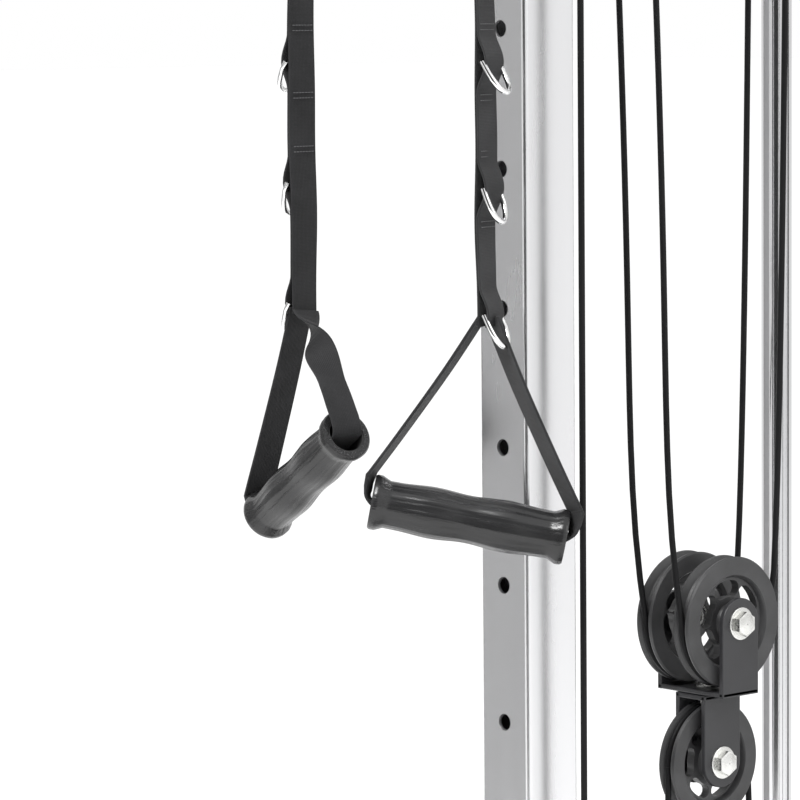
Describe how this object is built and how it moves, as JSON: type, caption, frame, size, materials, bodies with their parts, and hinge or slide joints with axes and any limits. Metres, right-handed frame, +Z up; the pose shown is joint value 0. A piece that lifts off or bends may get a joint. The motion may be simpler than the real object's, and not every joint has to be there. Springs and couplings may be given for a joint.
{
  "type": "functional trainer",
  "caption": "Free-standing cable exercise machine: perforated front column, sliding pulley carriage, hand straps, floating pulley block and guided weight stack.",
  "frame": {"origin": "on the floor, at the middle of the base", "axes": "+Z up; the user stands on the -Y side; +X to the right seen from the user side looking along +Y"},
  "size_m": [0.8, 0.88, 2.1],
  "materials": {
    "chrome": "polished",
    "black_paint": "satin powder coat",
    "nylon": "moulded",
    "cable": "extruded sheath",
    "zinc_steel": "plated",
    "webbing": "woven nylon",
    "rubber": "moulded grip",
    "cast_iron": "painted"
  },
  "bodies": {
    "frame": {"front_foot": "black_paint", "rear_foot": "black_paint", "base_rail_left": "black_paint", "base_rail_right": "black_paint", "front_cross_member": "black_paint", "front_column": "chrome", "rear_column": "black_paint", "top_beam": "black_paint", "stack_shelf": "black_paint", "guide_rod_left": "chrome", "guide_rod_right": "chrome", "rod_bracket": "black_paint", "top_front_bracket": "black_paint", "top_rear_bracket": "black_paint", "base_pulley_frame": "black_paint", "base_front_bracket": "black_paint", "handle_cable_left": "cable", "handle_cable_right": "cable", "stack_cable": "cable", "weight_plates_3": "cast_iron", "weight_plates_4": "cast_iron", "weight_plates_5": "cast_iron"},
    "lifted_stack": {"head_plate": "cast_iron", "weight_plates_1": "cast_iron", "weight_plates_2": "cast_iron"},
    "selector_pin": {"selector_pin": "zinc_steel"},
    "block": {"block_upper_yoke": "black_paint", "block_lower_yoke": "black_paint"},
    "stack_top_pulley": {"stack_top_pulley": "nylon"},
    "base_pulley_rear": {"base_pulley_rear": "nylon"},
    "base_pulley_front": {"base_pulley_front": "nylon"},
    "block_pulley_lower": {"block_pulley_lower": "nylon"},
    "carriage": {"carriage": "black_paint"},
    "pull_pin": {"pull_pin": "zinc_steel"},
    "block_pulley_left": {"block_pulley_left": "nylon"},
    "top_front_pulley_left": {"top_front_pulley_left": "nylon"},
    "top_rear_pulley_left": {"top_rear_pulley_left": "nylon"},
    "base_rear_pulley_left": {"base_rear_pulley_left": "nylon"},
    "base_front_pulley_left": {"base_front_pulley_left": "nylon"},
    "swivel_left": {"swivel_left": "black_paint", "cable_tail_left": "cable", "cable_stop_left": "nylon"},
    "swivel_pulley_left": {"swivel_pulley_left": "nylon"},
    "handle_left": {"strap_left": "webbing", "sling_left": "webbing"},
    "grip_left": {"grip_left": "rubber"},
    "block_pulley_right": {"block_pulley_right": "nylon"},
    "top_front_pulley_right": {"top_front_pulley_right": "nylon"},
    "top_rear_pulley_right": {"top_rear_pulley_right": "nylon"},
    "base_rear_pulley_right": {"base_rear_pulley_right": "nylon"},
    "base_front_pulley_right": {"base_front_pulley_right": "nylon"},
    "swivel_right": {"swivel_right": "black_paint", "cable_tail_right": "cable", "cable_stop_right": "nylon"},
    "swivel_pulley_right": {"swivel_pulley_right": "nylon"},
    "handle_right": {"strap_right": "webbing", "sling_right": "webbing"},
    "grip_right": {"grip_right": "rubber"}
  },
  "joints": [
    {"name": "stack_lift", "type": "slide", "parent": "frame", "child": "lifted_stack", "axis": [0, 0, 1], "range_m": [0, 0.5], "deforming": ["stack_cable", "handle_cable_left", "handle_cable_right"]},
    {"name": "selector_pin_slide", "type": "slide", "parent": "lifted_stack", "child": "selector_pin", "axis": [0, -1, 0], "range_m": [0, 0.068]},
    {"name": "block_slide", "type": "slide", "parent": "frame", "child": "block", "axis": [0, 0, 1], "range_m": [0, 0.25]},
    {"name": "stack_top_pulley_spin", "type": "hinge", "parent": "frame", "child": "stack_top_pulley", "pos_m": [0, 0.2675, 1.96], "axis": [1, 0, 0], "range_deg": [-605, 0]},
    {"name": "base_pulley_rear_spin", "type": "hinge", "parent": "frame", "child": "base_pulley_rear", "pos_m": [0, 0.2675, 0.135], "axis": [1, 0, 0], "range_deg": [-605, 0]},
    {"name": "base_pulley_front_spin", "type": "hinge", "parent": "frame", "child": "base_pulley_front", "pos_m": [0, 0.09, 0.135], "axis": [1, 0, 0], "range_deg": [-605, 0]},
    {"name": "block_pulley_lower_spin", "type": "hinge", "parent": "block", "child": "block_pulley_lower", "pos_m": [0, -0.032, 0.7535], "axis": [1, 0, 0], "range_deg": [0, 331]},
    {"name": "carriage_slide", "type": "slide", "parent": "frame", "child": "carriage", "axis": [0, 0, 1], "range_m": [-0.8128, 0]},
    {"name": "pull_pin_slide", "type": "slide", "parent": "carriage", "child": "pull_pin", "axis": [0, 1, 0], "range_m": [0, 0.01]},
    {"name": "block_pulley_left_spin", "type": "hinge", "parent": "block", "child": "block_pulley_left", "pos_m": [-0.0195, -0.032, 0.8635], "axis": [1, 0, 0], "range_deg": [-303, 0]},
    {"name": "top_front_pulley_left_spin", "type": "hinge", "parent": "frame", "child": "top_front_pulley_left", "pos_m": [-0.05975, -0.1905, 1.96], "axis": [0.7936, -0.6084, 0], "range_deg": [0, 435]},
    {"name": "top_rear_pulley_left_spin", "type": "hinge", "parent": "frame", "child": "top_rear_pulley_left", "pos_m": [-0.0195, 0.09, 1.96], "axis": [1, 0, 0], "range_deg": [0, 982]},
    {"name": "base_rear_pulley_left_spin", "type": "hinge", "parent": "frame", "child": "base_rear_pulley_left", "pos_m": [-0.0195, 0.09, 0.135], "axis": [1, 0, 0], "range_deg": [0, 982]},
    {"name": "base_front_pulley_left_spin", "type": "hinge", "parent": "frame", "child": "base_front_pulley_left", "pos_m": [-0.046, -0.1615, 0.135], "axis": [1, 0, 0], "range_deg": [0, 982]},
    {"name": "swivel_left_turn", "type": "hinge", "parent": "carriage", "child": "swivel_left", "pos_m": [-0.1, -0.243, 1.7358], "axis": [0, 0, 1], "range_deg": [-40, 25]},
    {"name": "swivel_pulley_left_spin", "type": "hinge", "parent": "swivel_left", "child": "swivel_pulley_left", "pos_m": [-0.12487, -0.26619, 1.6868], "axis": [-0.682, 0.7314, 0], "range_deg": [0, 844]},
    {"name": "handle_left_swing", "type": "hinge", "parent": "swivel_left", "child": "handle_left", "pos_m": [-0.16034, -0.29927, 1.582], "axis": [-0.682, 0.7314, 0], "range_deg": [0, 70]},
    {"name": "grip_left_spin", "type": "hinge", "parent": "handle_left", "child": "grip_left", "pos_m": [-0.1604, -0.29925, 0.9835], "axis": [0.8442, -0.1483, 0.515], "continuous": true},
    {"name": "block_pulley_right_spin", "type": "hinge", "parent": "block", "child": "block_pulley_right", "pos_m": [0.0195, -0.032, 0.8635], "axis": [1, 0, 0], "range_deg": [-303, 0]},
    {"name": "top_front_pulley_right_spin", "type": "hinge", "parent": "frame", "child": "top_front_pulley_right", "pos_m": [0.05975, -0.1905, 1.96], "axis": [0.7936, 0.6084, 0], "range_deg": [0, 435]},
    {"name": "top_rear_pulley_right_spin", "type": "hinge", "parent": "frame", "child": "top_rear_pulley_right", "pos_m": [0.0195, 0.09, 1.96], "axis": [1, 0, 0], "range_deg": [0, 982]},
    {"name": "base_rear_pulley_right_spin", "type": "hinge", "parent": "frame", "child": "base_rear_pulley_right", "pos_m": [0.0195, 0.09, 0.135], "axis": [1, 0, 0], "range_deg": [0, 982]},
    {"name": "base_front_pulley_right_spin", "type": "hinge", "parent": "frame", "child": "base_front_pulley_right", "pos_m": [0.046, -0.1615, 0.135], "axis": [1, 0, 0], "range_deg": [0, 982]},
    {"name": "swivel_right_turn", "type": "hinge", "parent": "carriage", "child": "swivel_right", "pos_m": [0.1, -0.243, 1.7358], "axis": [0, 0, 1], "range_deg": [-4, 95]},
    {"name": "swivel_pulley_right_spin", "type": "hinge", "parent": "swivel_right", "child": "swivel_pulley_right", "pos_m": [0.07215, -0.2625, 1.6868], "axis": [-0.5736, 0.8192, 0], "range_deg": [0, 844]},
    {"name": "handle_right_swing", "type": "hinge", "parent": "swivel_right", "child": "handle_right", "pos_m": [0.03242, -0.29032, 1.582], "axis": [-0.5736, 0.8192, 0], "range_deg": [0, 70]},
    {"name": "grip_right_spin", "type": "hinge", "parent": "handle_right", "child": "grip_right", "pos_m": [0.02293, -0.30055, 0.96659], "axis": [0.6676, 0.7196, -0.1908], "continuous": true}
  ],
  "couplings": [
    {"joint": "block_slide", "follows": "stack_lift", "ratio": 0.5},
    {"joint": "stack_top_pulley_spin", "follows": "stack_lift", "rad_per_m": -21.053},
    {"joint": "base_pulley_rear_spin", "follows": "stack_lift", "rad_per_m": -21.053},
    {"joint": "base_pulley_front_spin", "follows": "stack_lift", "rad_per_m": -21.053},
    {"joint": "block_pulley_lower_spin", "follows": "stack_lift", "rad_per_m": 11.494},
    {"joint": "block_pulley_left_spin", "follows": "stack_lift", "rad_per_m": -10.526},
    {"joint": "top_front_pulley_left_spin", "follows": "stack_lift", "rad_per_m": 15.116},
    {"joint": "top_rear_pulley_left_spin", "follows": "carriage_slide", "rad_per_m": -21.053},
    {"joint": "base_rear_pulley_left_spin", "follows": "carriage_slide", "rad_per_m": -21.053},
    {"joint": "base_front_pulley_left_spin", "follows": "carriage_slide", "rad_per_m": -21.053},
    {"joint": "swivel_pulley_left_spin", "follows": "stack_lift", "rad_per_m": 29.412},
    {"joint": "block_pulley_right_spin", "follows": "stack_lift", "rad_per_m": -10.526},
    {"joint": "top_front_pulley_right_spin", "follows": "stack_lift", "rad_per_m": 15.116},
    {"joint": "top_rear_pulley_right_spin", "follows": "carriage_slide", "rad_per_m": -21.053},
    {"joint": "base_rear_pulley_right_spin", "follows": "carriage_slide", "rad_per_m": -21.053},
    {"joint": "base_front_pulley_right_spin", "follows": "carriage_slide", "rad_per_m": -21.053},
    {"joint": "swivel_pulley_right_spin", "follows": "stack_lift", "rad_per_m": 29.412}
  ]
}
